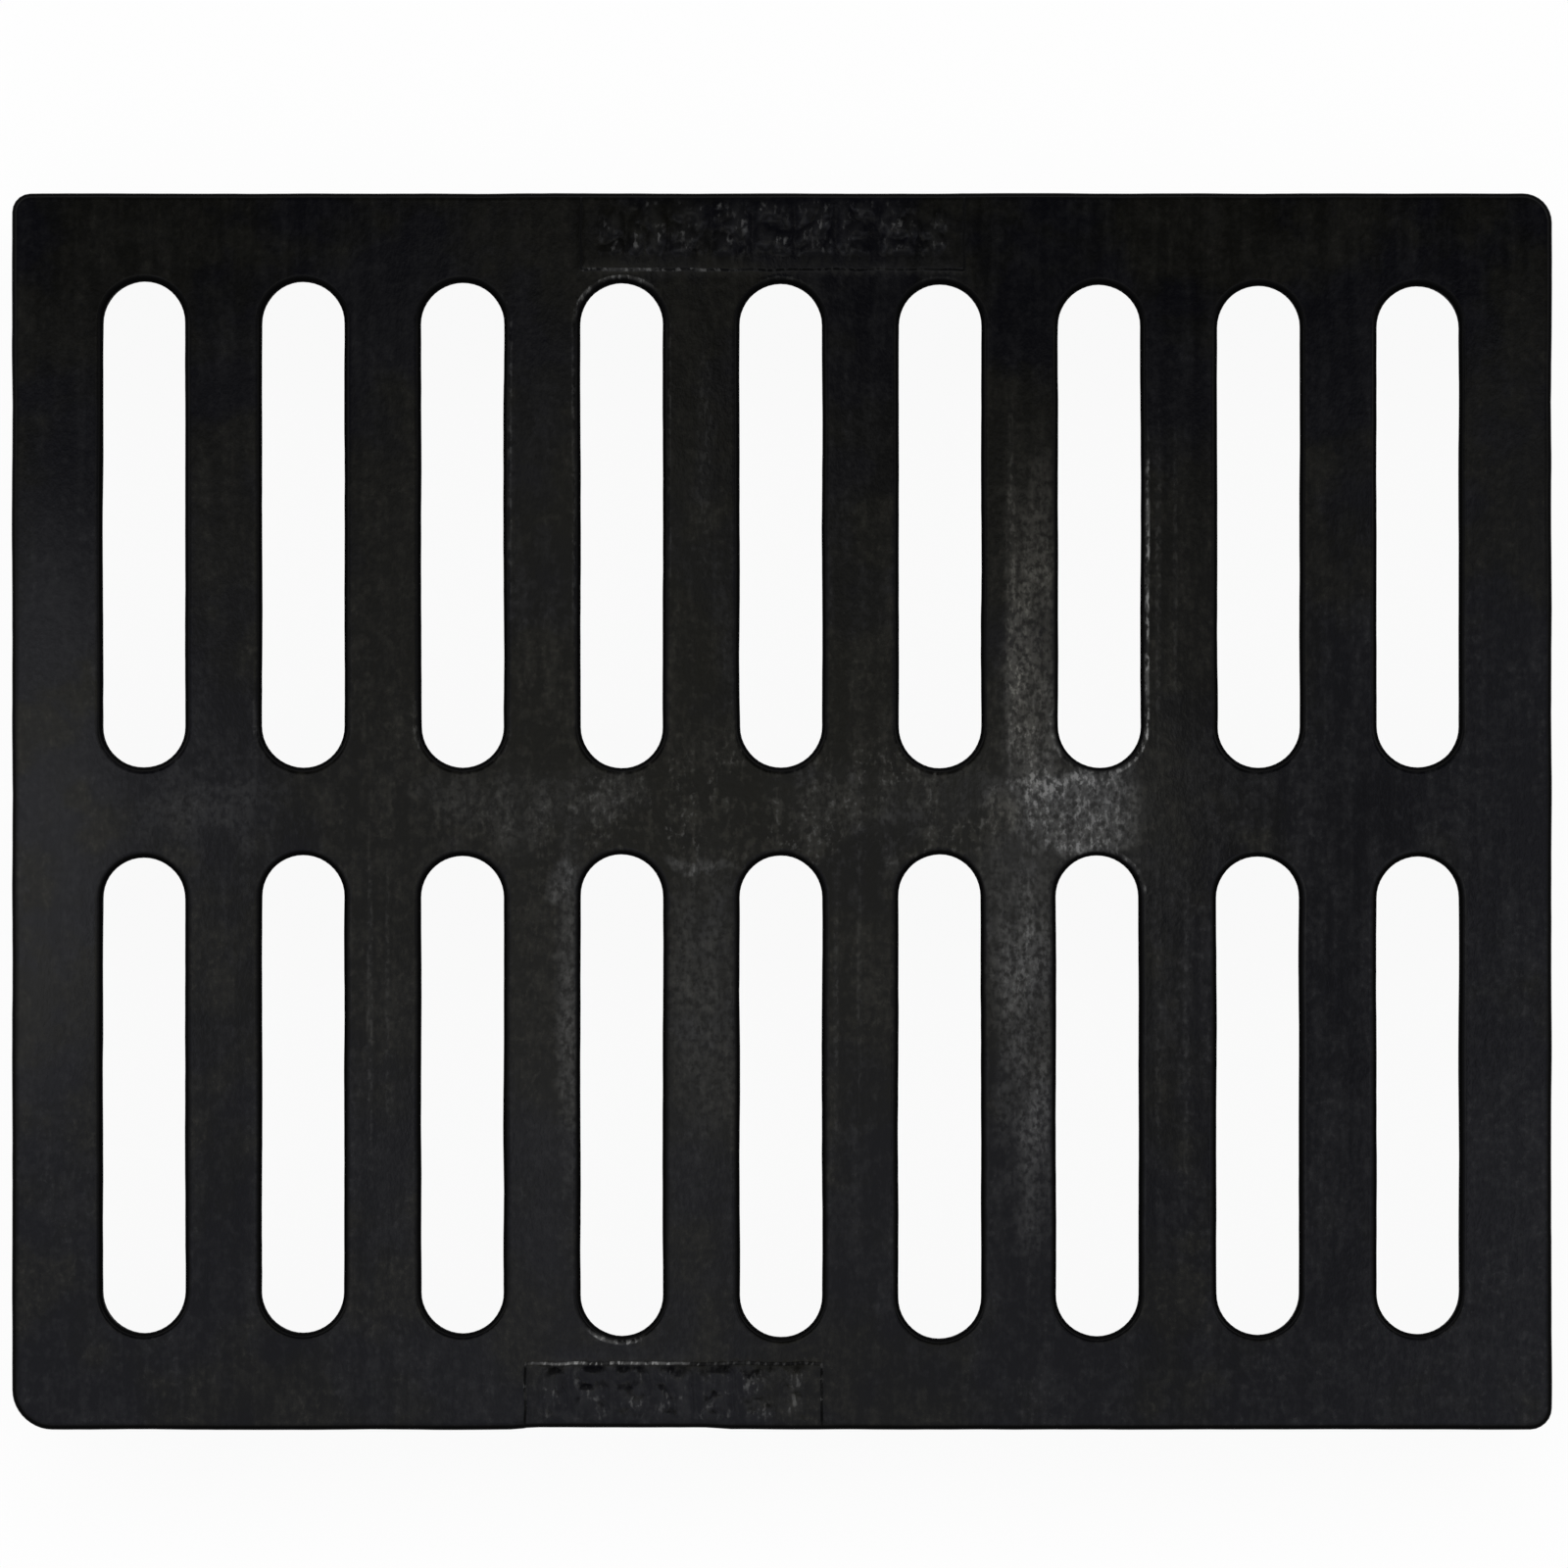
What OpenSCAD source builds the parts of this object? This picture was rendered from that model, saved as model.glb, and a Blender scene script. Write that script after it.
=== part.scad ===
// Cast-iron drain grate, poured as one piece: a slotted tread plate, stiffened from below by a skirt
// round its edge, a cross web between the two rows of slots and a web under each bar.
// X runs along the long side, Y along the slots and Z up. The origin is the middle of the seat,
// which is the flat foot of the skirt. All sizes are in millimetres.

/* [Tread plate] */
// Length of the tread, along X
tread_l = 498; // [460:1:560]
// Width of the tread, along Y
tread_w = 400; // [370:1:460]
// Height of the tread above the seat
tread_z = 40; // [34:1:52]
// Thickness of the plate round the slots
plate_t = 9; // [7:0.5:12]
// Rounding of the tread's edges
rim_r = 2.2; // [1:0.1:3]

/* [Outer corners] */
// Radius of the corner at the front right
corner_front_right = 7; // [4:0.5:16]
// Radius of the corner at the back right
corner_back_right = 9.5; // [4:0.5:16]
// Radius of the corner at the back left
corner_back_left = 6; // [4:0.5:16]
// Radius of the corner at the front left
corner_front_left = 13; // [4:0.5:16]

/* [Slots] */
// Slots in a row
columns = 9; // [6:1:9]
// Width of a slot where it is narrowest, just below the tread
slot_w = 27; // [20:0.5:29]
// Slope of a slot's walls, which spread downwards, in degrees
slot_draft = 4; // [1:0.5:5]
// Plain tread at either end of a row
side_margin = 29.5; // [27:0.5:34]
// Plain tread behind the first slot of the back row
back_margin = 28.3; // [27:0.1:32]
// How much wider that margin has grown at the last slot
back_margin_growth = 1.5; // [0:0.1:2]
// Plain tread before the front row
front_margin = 30.5; // [27:0.5:34]
// Width of the plain crossbar between the rows
crossbar_w = 28; // [26:0.5:36]

/* [Skirt and webs] */
// Distance from the tread's outline to the inside of the skirt, at its foot
skirt_t = 13; // [11:0.5:15]
// Slope of the skirt's outside, in degrees
skirt_draft = 2; // [1:0.5:4]
// Rounding of the skirt's outer foot
foot_r = 1.2; // [0.5:0.1:2]
// Thickness of the web under a bar, at its foot
web_t = 8; // [6:0.5:11]
// Thickness of the cross web, at its foot
cross_web_t = 11; // [8:0.5:14]
// Slope of the pocket walls between the webs, in degrees
pocket_draft = 4; // [1:0.5:5]
// Corner radius of a pocket, seen from below
pocket_r = 10; // [8:0.5:13]
// Fillet between the webs and the plate
root_r = 4; // [1:0.5:5]
// Gap between the feet of the webs and the plane of the seat
web_gap = 3; // [1:0.5:6]
// Stretch of a web next to the skirt that reaches right down to the seat
web_heel = 3.5; // [3.5:0.5:6]

/* [Marking plates] */
// Height of the raised plates, for marks, above the tread
mark_rise = 0.8; // [0.4:0.1:1]
// Length of the front plate
front_mark_l = 97; // [40:1:140]
// Width of the front plate
front_mark_w = 22.5; // [15:0.5:24]
// Middle of the front plate, along X
front_mark_x = -35; // [-60:1:60]
// Length of the back plate
back_mark_l = 125; // [40:1:140]
// Width of the back plate
back_mark_w = 25.5; // [15:0.5:25.5]
// Middle of the back plate, along X
back_mark_x = -3; // [-60:1:60]

/* [Hidden] */
$fn = 96;
corner_r = [corner_front_right, corner_back_right, corner_back_left, corner_front_left];
// Sections are kept to whole microns, so that a run and a turn with one section meet exactly
micron = 0.001;
// Slots, with a pitch that halves and quarters to whole microns
pitch_step = 0.02;
column_pitch = nearest((tread_l - 2 * side_margin - slot_w) / (columns - 1), pitch_step);
front_slot = [front_margin - tread_w / 2, -crossbar_w / 2];
// Pockets below the slots, with their edges given at the plane of the seat
ceiling_z = tread_z - plate_t;
pocket_end_x = tread_l / 2 - skirt_t;
pocket_end_y = tread_w / 2 - skirt_t;
// How far the cuts run past what they cut
over = 1;
// How deep a cut or a raised plate reaches into the body that it joins
bite = 2;
// Marking plates: step back from the tread's outline, and the bevels at the outer and inner edge
mark_step = 0.3;
mark_outer_bevel = 1;
mark_inner_bevel = 0.5;
// Straight pieces in a quarter of a rounding
arc_steps = 5;

grate_black = "#232325";

function nearest(value, step) = round(value / step) * step;

function column_x(i) = (i - (columns - 1) / 2) * column_pitch;

function back_slot(i) =
    [crossbar_w / 2, tread_w / 2 - back_margin - back_margin_growth * i / (columns - 1)];

function to_microns(section) = [for (p = section) [nearest(p[0], micron), nearest(p[1], micron)]];

// Points along an arc in a section, where x is the reach from the axis and y is the height
function arc(reach, height, r, from, to) =
    [for (i = [0 : arc_steps])
        let (a = from + (to - from) * i / arc_steps)
        [reach + r * cos(a), height + r * sin(a)]];

// Half section of the solid grate, out to the skirt's sloping face and the tread's rounded edge
function skirt_section(reach) =
    let (rim = arc(reach - rim_r, tread_z - rim_r, rim_r, -skirt_draft, 90),
         foot_x = rim[0][0] - rim[0][1] * tan(skirt_draft))
    to_microns(concat([[0, 0]], arc(foot_x - foot_r, foot_r, foot_r, -90, 0), rim, [[0, tread_z]]));

// Half section of a slot: walls that spread downwards, and the rounded edge of the tread
function slot_section() =
    let (rim = arc(slot_w / 2 + rim_r, tread_z - rim_r, rim_r, 180 + slot_draft, 90),
         low_z = ceiling_z - bite,
         low_x = rim[0][0] + (rim[0][1] - low_z) * tan(slot_draft))
    to_microns(concat([[0, low_z], [low_x, low_z]], rim,
                      [[slot_w / 2 + rim_r, tread_z + over], [0, tread_z + over]]));

// Half section of a pocket: sloping walls and the fillet under the plate
function pocket_section(reach) =
    let (fillet_z = ceiling_z - root_r,
         fillet_x = reach - fillet_z * tan(pocket_draft) - root_r / cos(pocket_draft))
    to_microns(concat([[0, -over], [reach + over * tan(pocket_draft), -over]],
                      arc(fillet_x, fillet_z, root_r, pocket_draft, 90), [[0, ceiling_z]]));

// The same half section on both sides of the axis
function mirrored(section) =
    concat(section, [for (i = [len(section) - 2 : -1 : 1]) [-section[i][0], section[i][1]]]);

// A section in X and Z, run along Y
module run(section, from, to)
    translate([0, to, 0])
        rotate([90, 0, 0])
            linear_extrude(to - from)
                polygon(section);

// The grate without its slots and pockets, made of a run to each side and a turn at each corner
module solid_body()
    for (side = [0 : 3])
        let (reach = side % 2 == 0 ? tread_l / 2 : tread_w / 2,
             span = side % 2 == 0 ? tread_w / 2 : tread_l / 2,
             first_r = corner_r[side],
             last_r = corner_r[(side + 1) % 4])
        rotate(90 * side) {
            run(skirt_section(reach), first_r - span, span - last_r);
            translate([reach - last_r, span - last_r, 0])
                rotate_extrude(angle = 90)
                    polygon(skirt_section(last_r));
        }

// A slot through the plate, from one round end to the other
module slot(ends) {
    radius = slot_w / 2;
    run(mirrored(slot_section()), ends[0] + radius, ends[1] - radius);
    translate([0, ends[1] - radius, 0])
        rotate_extrude(angle = 180)
            polygon(slot_section());
    translate([0, ends[0] + radius, 0])
        rotate(180)
            rotate_extrude(angle = 180)
                polygon(slot_section());
}

// A pocket below a slot, with sloping walls, round corners and a filleted ceiling
module pocket(x, y) {
    centre = [(x[0] + x[1]) / 2, (y[0] + y[1]) / 2, 0];
    half = [(x[1] - x[0]) / 2, (y[1] - y[0]) / 2];
    translate(centre) {
        run(mirrored(pocket_section(half[0])), pocket_r - half[1], half[1] - pocket_r);
        for (end = [0, 1])
            rotate(180 * end) {
                translate([0, half[1] - pocket_r, 0])
                    rotate(90)
                        run(pocket_section(pocket_r), pocket_r - half[0], half[0] - pocket_r);
                for (side = [0, 1])
                    mirror([side, 0, 0])
                        translate([half[0] - pocket_r, half[1] - pocket_r, 0])
                            rotate_extrude(angle = 90)
                                polygon(pocket_section(pocket_r));
            }
    }
}

// Lifts the feet of the webs clear of the seat, apart from the heels where they join the skirt
module web_relief() {
    size = [2 * (pocket_end_x - web_heel), 2 * (pocket_end_y - web_heel), web_gap + over];
    translate([-size[0] / 2, -size[1] / 2, -over])
        cube(size);
}

// Section of a marking plate, from the tread's outline inwards, where x is the reach to the back
function mark_section(width) =
    let (outer = tread_w / 2 - mark_step,
         inner = tread_w / 2 - width,
         top = tread_z + mark_rise)
    [[inner, tread_z - bite], [outer, tread_z - bite], [outer, top - mark_outer_bevel],
     [outer - mark_outer_bevel, top], [inner + mark_inner_bevel, top], [inner, tread_z]];

// A low plate at the back edge of the tread, left bare for marks
module marking_plate(length, width)
    rotate(90)
        run(mark_section(width), -length / 2, length / 2);

module grate()
    color(grate_black)
        difference() {
            union() {
                solid_body();
                translate([back_mark_x, 0, 0])
                    marking_plate(back_mark_l, back_mark_w);
                translate([front_mark_x, 0, 0])
                    rotate(180)
                        marking_plate(front_mark_l, front_mark_w);
            }
            for (i = [0 : columns - 1]) {
                left = i == 0 ? -pocket_end_x : column_x(i) - (column_pitch - web_t) / 2;
                right = i == columns - 1 ? pocket_end_x : column_x(i) + (column_pitch - web_t) / 2;
                translate([column_x(i), 0, 0]) {
                    slot(back_slot(i));
                    slot(front_slot);
                }
                pocket([left, right], [cross_web_t / 2, pocket_end_y]);
                pocket([left, right], [-pocket_end_y, -cross_web_t / 2]);
            }
            web_relief();
        }

grate();
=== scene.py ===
from math import ceil, cos, hypot, pi, radians, sin, tan

import bmesh
import bpy
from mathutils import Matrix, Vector, noise
from mathutils.geometry import delaunay_2d_cdt


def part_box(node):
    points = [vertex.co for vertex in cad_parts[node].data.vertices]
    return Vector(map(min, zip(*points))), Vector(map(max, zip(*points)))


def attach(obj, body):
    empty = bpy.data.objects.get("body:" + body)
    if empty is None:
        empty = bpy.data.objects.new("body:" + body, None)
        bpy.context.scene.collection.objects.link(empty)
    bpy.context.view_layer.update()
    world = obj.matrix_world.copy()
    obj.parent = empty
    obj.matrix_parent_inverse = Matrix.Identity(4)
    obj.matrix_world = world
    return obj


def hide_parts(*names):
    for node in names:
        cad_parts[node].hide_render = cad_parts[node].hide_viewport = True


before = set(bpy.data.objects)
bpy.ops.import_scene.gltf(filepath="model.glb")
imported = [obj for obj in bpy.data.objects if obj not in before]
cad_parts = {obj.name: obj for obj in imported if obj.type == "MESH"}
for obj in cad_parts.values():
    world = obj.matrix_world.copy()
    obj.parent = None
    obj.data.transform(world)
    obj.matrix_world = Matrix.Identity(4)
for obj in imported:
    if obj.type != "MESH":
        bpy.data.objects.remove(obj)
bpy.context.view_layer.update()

nodeLow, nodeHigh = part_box("grate")
metresPerMm = 0.001
tiny = 1e-6                                 # a length in millimetres that counts as nothing


# Shader maths: a Wire wraps one socket, so that masks and heights can be written as sums
class Wire:
    def __init__(self, tree, socket):
        self.tree = tree
        self.socket = socket

    def maths(self, operation, first, second):
        return self.tree.node("Math", {"operation": operation}, {0: first, 1: second})

    def __add__(self, other):
        return self.maths("ADD", self, other)

    def __sub__(self, other):
        return self.maths("SUBTRACT", self, other)

    def __rsub__(self, other):
        return self.maths("SUBTRACT", other, self)

    def __mul__(self, other):
        return self.maths("MULTIPLY", self, other)

    def __truediv__(self, other):
        return self.maths("DIVIDE", self, other)

    def __pow__(self, other):
        return self.maths("POWER", self, other)

    __radd__ = __add__
    __rmul__ = __mul__

    def largest(self, other):
        return self.maths("MAXIMUM", self, other)

    def smallest(self, other):
        return self.maths("MINIMUM", self, other)

    # 0 below low, 1 above high, and a soft step between
    def step(self, low, high):
        inputs = {"Value": self, "From Min": low, "From Max": high}
        return self.tree.node("MapRange", {"interpolation_type": "SMOOTHSTEP"}, inputs)


class Shader:
    def __init__(self, owner):
        owner.use_nodes = True
        self.nodes = owner.node_tree.nodes
        self.links = owner.node_tree.links
        self.nodes.clear()

    # Makes a node: its settings are set first, then the values or links of its sockets
    def node(self, kind, settings=None, inputs=None, output=0):
        made = self.nodes.new("ShaderNode" + kind)
        for name, value in (settings or {}).items():
            setattr(made, name, value)
        for name, value in (inputs or {}).items():
            if isinstance(value, Wire):
                self.links.new(value.socket, made.inputs[name])
            elif isinstance(value, tuple) and made.inputs[name].type == "RGBA":
                made.inputs[name].default_value = (*value, 1)
            else:
                made.inputs[name].default_value = value
        return Wire(self, made.outputs[output]) if len(made.outputs) else None

    def blend(self, mask, first, second):
        inputs = {"Factor": mask, 6: first, 7: second}
        return self.node("Mix", {"data_type": "RGBA"}, inputs, output=2)

    def shifted(self, place, shift):
        return self.node("VectorMath", {"operation": "ADD"}, {0: place, 1: shift})

    # Noise with grains of a size in millimetres, drawn from a start of its own, or squeezed
    def noise(self, place, size, detail, rough=0.5, start=None, squeeze=None):
        if start:
            place = self.shifted(place, (*start, 0))
        if squeeze:
            place = self.node("VectorMath", {"operation": "MULTIPLY"}, {0: place, 1: (*squeeze, 1)})
        inputs = {"Vector": place, "Scale": 1 / (size * metresPerMm), "Detail": detail,
                  "Roughness": rough}
        return self.node("TexNoise", {"noise_dimensions": "2D"}, inputs)

    # An ellipse drawn on a place: the square of how far out it is, 1 on its outline
    def ellipse(self, place, middle, size):
        (x, y), (wide, long) = middle, size
        off = self.node("VectorMath", {"operation": "MULTIPLY_ADD"},
                        {0: place, 1: (1 / wide, 1 / long, 0), 2: (-x / wide, -y / long, 0)})
        return self.node("VectorMath", {"operation": "DOT_PRODUCT"}, {0: off, 1: off}, output="Value")

    def bump(self, height, depth, below=None):
        inputs = {"Height": height, "Strength": 1.0, "Distance": depth * metresPerMm}
        if below:
            inputs["Normal"] = below
        return self.node("Bump", None, inputs)


# The poured grate, in millimetres
grate = {
    "markRise": 0.8,
    "plateThickness": 9.0,
    "rimRound": 1.9,
    "corners": (7.0, 9.5, 6.0, 13.0),       # front right, back right, back left, front left
    "columns": 9,
    "slotWidth": 27.0,
    "slotFlash": 0.2,                       # metal that ran into the slots past the pattern
    "slotShift": -0.3,                      # how far all slots sit off the middle
    "backShort": 0.25,                      # how much shorter the back row is at its back end
    "middleShort": (0.9, 0.2, 0.4, 0, 0.4, 0, 0.3, 0.6, 0.7),       # and each front slot at its back
    "frontShort": (0.6, 0.6, 0.5, -0.4, -0.6, -1.2, -0.4, 0, 0.2),  # and at its front; below 0 is longer
    "frontLean": (0, 0, 0, 0, 0, 0.2, 0.7, 0.3, 0),                 # how far each sits to the left
    "slotDraft": 4.0,
    "lipRound": 1.2,
    "sideMargin": 29.5,
    "backMargin": 28.3,
    "backMarginGrowth": 1.5,
    "frontMargin": 30.5,
    "crossbarWidth": 28.0,
    "skirtThickness": 13.0,
    "skirtDraft": 2.0,
    "footRound": 1.2,
    "webThickness": 8.0,
    "crossWebThickness": 11.0,
    "pocketDraft": 4.0,
    "pocketCorner": 10.0,
    "rootFillet": 4.0,
    "webGap": 3.0,
    "webHeel": 3.5,
    "heelRamp": 2.0,
    "skirtRings": (31, 24, 17, 10, 4),      # heights of the mesh's rings on the skirt
    "wallRing": 2.2,                        # depth of the ring on a slot's wall, below the rounding
    "pocketRings": ((20, 0.1), (12, 0.45), (5, 0.8)),   # heights in a pocket, with their share of the gap
    "rimParts": 6,                          # straight pieces in the tread's roundings
    "filletParts": 5,
    "footParts": 4,
    "lipParts": 3,
    "straightStep": 4.2,                    # mesh spacing on straight runs
    "slotStep": 3.0,                        # and along the slots
    "turnStep": 1.9,                        # and round the turns
    "fieldStep": 4.0,                       # and over the open tread
    "seatStep": 2.6,                        # and over the seat
    "seatClear": (1.5, 1.2),                # what stays free there along the skirt and the pockets
    "footSlack": 0.03,                      # how far a foot's triangles may cut across a curve
    "fieldClear": 0.45,                     # share of its spacing that stays free at the edges there
    "ridgeClear": (0.5, 0.12),              # what ridges keep free along the outline and the slots
    "flatEdge": 0.6,                        # flat strip kept beside each rounding
    "glintStrip": 0.5,                        # and beside that, the strip where a slot's painted glint fades out
    "rimShade": (0, 0.2, 0.8, 1.0, 1.0, 0.7, 0.3),   # painted shade on the skirt's first rings: how dark and matt they are drawn
    "slotShade": (0, 0, 0.2, 0.8),           # and on a slot's, where the painted shade stays full further down the wall
    "slotGlint": (0, 1.0, 0.6, 0.1),         # how bright the painted glints are on those rings
    "backShade": 0.75,                       # how much more painted shade there is at the back ends
    "backShadeFrom": (45, 36),               # which begin and are full so far from the back edge
}

# Raised plates at the front and back edge, with a band that is lumpy with wear where marks would be
marks = {
    "front": {"side": -1, "middle": -35.0, "length": 97.0, "width": 22.2},
    "back": {"side": 1, "middle": -3.0, "length": 125.0, "width": 25.3},
    "rise": 0.36,
    "corner": 1.2,
    "leastCorner": 0.3,                     # of the ridges further in
    "pastEdge": 20.0,                       # how far the plates' outlines run on past the tread's
    "bevel": 1.2,
    "bevelRidges": (0, 0.25, 0.5, 0.75, 1), # where ridges of the mesh run along the bevel
    "ridgeStep": (1.2, 0.7),                # spacing along them, straight and round a corner
    "bevelClear": (-0.4, 1.8),              # middle and half width of the strip kept for them
    "creaseShade": 0.95,                     # how dark the painted shade is on the slopes of plates and lumps
    "creaseWidth": 6.4,                     # from 4 on: a wider painted shade and painted glint along the bevel
    "uneven": 0.4,                          # how far the edges of the plates stray
    "unevenLength": 7.0,
    "band": (2.6, 20.4),                    # from the grate's outline to either side of the band
    "bandEnd": 6.0,                         # and from the ends of the plate
    "bandFade": 2.0,                        # the lumps rise to their height over this
    "bandOverlap": 0.6,                     # how far the open tread's mesh reaches into the band
    "coatReach": 2.0,                       # how far round the plates the painted shade, painted glints and pale lump tops are worked out
    "lumpRise": 0.28,
    "lumpSize": (4.2, 5.2),
    "lumpTwist": (1.7, 0.5),                # how fine and how strong the bends in their outlines are
    "lumpEdge": (-0.34, 0.16),              # the noise at the foot and at the top of a lump
    "blockPitch": 13.5,                     # the lumps stand in blocks with low ground between them
    "blockEdge": (-0.95, -0.3),             # a block's outline on a cosine across it
    "lumpStep": 1.25,                       # mesh spacing over the band
    "sideReach": 0.7,                       # a slope is read between two places this far either way
    "backSlope": (0.05, 0.5),               # least and full slope to the back, and its painted shade
    "backSlopeShade": 0.3,
    "frontSlope": (0.02, 0.25),             # and to the front, on the back plate
    "frontSlopeShade": 0.75,
}

# What the sand mould does to a true shape, in waves that have a length and a seed, and in one dent
pour = {
    "wander": 0.22,                         # how far the edges stray from a straight line
    "wanderLength": 26.0,
    "wanderSeeds": (11.0, 18.0),
    "burr": 0.07,                           # and in short steps
    "burrLength": 6.0,
    "burrSeeds": (14.0, 20.0),
    "sink": 0.12,                           # how deep the tread dips between its high spots
    "sinkLength": 48.0,
    "sinkSeed": 24.0,
    "wallWave": 0.15,                       # and how far the walls' mesh wanders up and down
    "wallWaveLength": 18.0,
    "wallWaveSeed": 30.0,
    "unevenSeeds": (11.0, 16.0),
    "lumpSeed": 11.0,
    "twistSeed": 11,                        # of the bends in their outlines, a whole number
    "topFrom": 34.0,                        # height from which the walls begin to follow the tread
    "seatTo": (0.5, 6.0),                   # heights between which the walls leave the flat seat
    "dent": {"from": -86.0, "to": -18.0, "ramp": 5.0, "depth": 0.6,     # hollow of the front outline
             "heights": (20.0, 34.0), "reach": 5.0},
}

noise.seed_set(pour["twistSeed"])           # the clock seeds noise_vector otherwise

softEdge = (0.1, 1.7)                       # where an ellipse begins and ends to fade, 1 on its outline; it draws the painted glints, highlights and sheen, and the other marks

# Places in millimetres where highlights are painted along the edges as pale bright iron, and how bright
glints = [
    {"at": (118, 66), "size": (5, 46), "level": 0.75},
    {"at": (113, 20), "size": (8, 10), "level": 0.8},
    {"at": (114, -19), "size": (7, 8), "level": 0.45},
    {"at": (90, 24), "size": (5, 12), "level": 0.3},
    {"at": (-55, -171.5), "size": (9, 4), "level": 0.8},
    {"at": (-54, -178), "size": (27, 3), "level": 0.75},
    {"at": (0, -178), "size": (26, 3), "level": 0.14},
    {"at": (-83, -188), "size": (3, 5), "level": 0.2},
    {"at": (13, -188), "size": (3, 5), "level": 0.2},
    {"at": (-42, 174), "size": (24, 4), "level": 0.35},
    {"at": (15, 174), "size": (45, 3), "level": 0.06},
    {"at": (-64, 168), "size": (7, 7), "level": 0.3},
    {"at": (-89, 118), "size": (4, 46), "level": 0.12},
    {"at": (-66, 110), "size": (4, 52), "level": 0.08},
    {"at": (-38, 115), "size": (4, 46), "level": 0.06},
    {"at": (-130, 22), "size": (9, 6), "level": 0.1},
    {"at": (-90, 22), "size": (8, 6), "level": 0.1},
    {"at": (-171, 27), "size": (4, 8), "level": 0.16},
    {"at": (-119, 27), "size": (4, 8), "level": 0.12},
]

treadLength = (nodeHigh.x - nodeLow.x) / metresPerMm
treadWidth = (nodeHigh.y - nodeLow.y) / metresPerMm
treadTop = nodeHigh.z / metresPerMm - grate["markRise"]
ceiling = treadTop - grate["plateThickness"]
pocketEndX = treadLength / 2 - grate["skirtThickness"]
pocketEndY = treadWidth / 2 - grate["skirtThickness"]


# A rectangle with round corners, seen from above
class Plan:
    def __init__(self, left, right, low, high, corners):
        self.box = (left, right, low, high)
        self.corners = corners if isinstance(corners, tuple) else (corners,) * 4

    # How far a place is outside the outline; less than 0 is inside
    def gap(self, x, y):
        left, right, low, high = self.box
        frontRight, backRight, backLeft, frontLeft = self.corners
        if x > (left + right) / 2:
            radius = backRight if y > (low + high) / 2 else frontRight
        else:
            radius = backLeft if y > (low + high) / 2 else frontLeft
        across = abs(x - (left + right) / 2) - (right - left) / 2 + radius
        along = abs(y - (low + high) / 2) - (high - low) / 2 + radius
        return hypot(max(across, 0), max(along, 0)) + min(max(across, along), 0) - radius

    # Stations round the outline: x, y and the direction that points out of it
    def stations(self, straightStep, turnStep, stops=()):
        left, right, low, high = self.box
        places = ((right, low, -1, 1), (right, high, -1, -1), (left, high, 1, -1), (left, low, 1, 1))
        turns = []
        for turn, (x, y, inX, inY) in enumerate(places):
            radius = self.corners[turn]
            parts = max(3, ceil(radius * pi / 2 / turnStep))
            angles = [radians(90 * (turn - 1 + i / parts)) for i in range(parts + 1)]
            middle = (x + inX * radius, y + inY * radius)
            turns.append([(middle[0] + radius * cos(a), middle[1] + radius * sin(a), cos(a), sin(a))
                          for a in angles])
        result = []
        for turn, points in enumerate(turns):
            start, end = points[-1], turns[(turn + 1) % 4][0]
            result += points
            length = hypot(end[0] - start[0], end[1] - start[1])
            if length < tiny:
                result.pop()
                continue
            stays = sorted({0.0, 1.0} | {(x - start[0]) / (end[0] - start[0])
                                        for x, side in stops if side * start[3] > 0.9})
            cuts = []
            for near, far in zip(stays, stays[1:]):
                parts = max(1, ceil(length * (far - near) / straightStep))
                cuts += [near + (far - near) * i / parts for i in range(parts)]
            result += [(start[0] + (end[0] - start[0]) * t, start[1] + (end[1] - start[1]) * t,
                        start[2], start[3]) for t in cuts[1:]]
        return result


def smooth(value, low, high):
    t = min(max((value - low) / (high - low), 0), 1)
    return t * t * (3 - 2 * t)


# Height of the web feet over the seat: nothing at the skirt, the gap everywhere else
def footLift(x, y):
    inside = min(pocketEndX - abs(x), pocketEndY - abs(y))
    return grate["webGap"] * smooth(inside, grate["webHeel"], grate["webHeel"] + grate["heelRamp"])


def arc(reach, height, radius, start, end, parts):
    angles = [radians(start + (end - start) * i / parts) for i in range(parts + 1)]
    return [(reach + radius * cos(a), height + radius * sin(a)) for a in angles]


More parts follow.
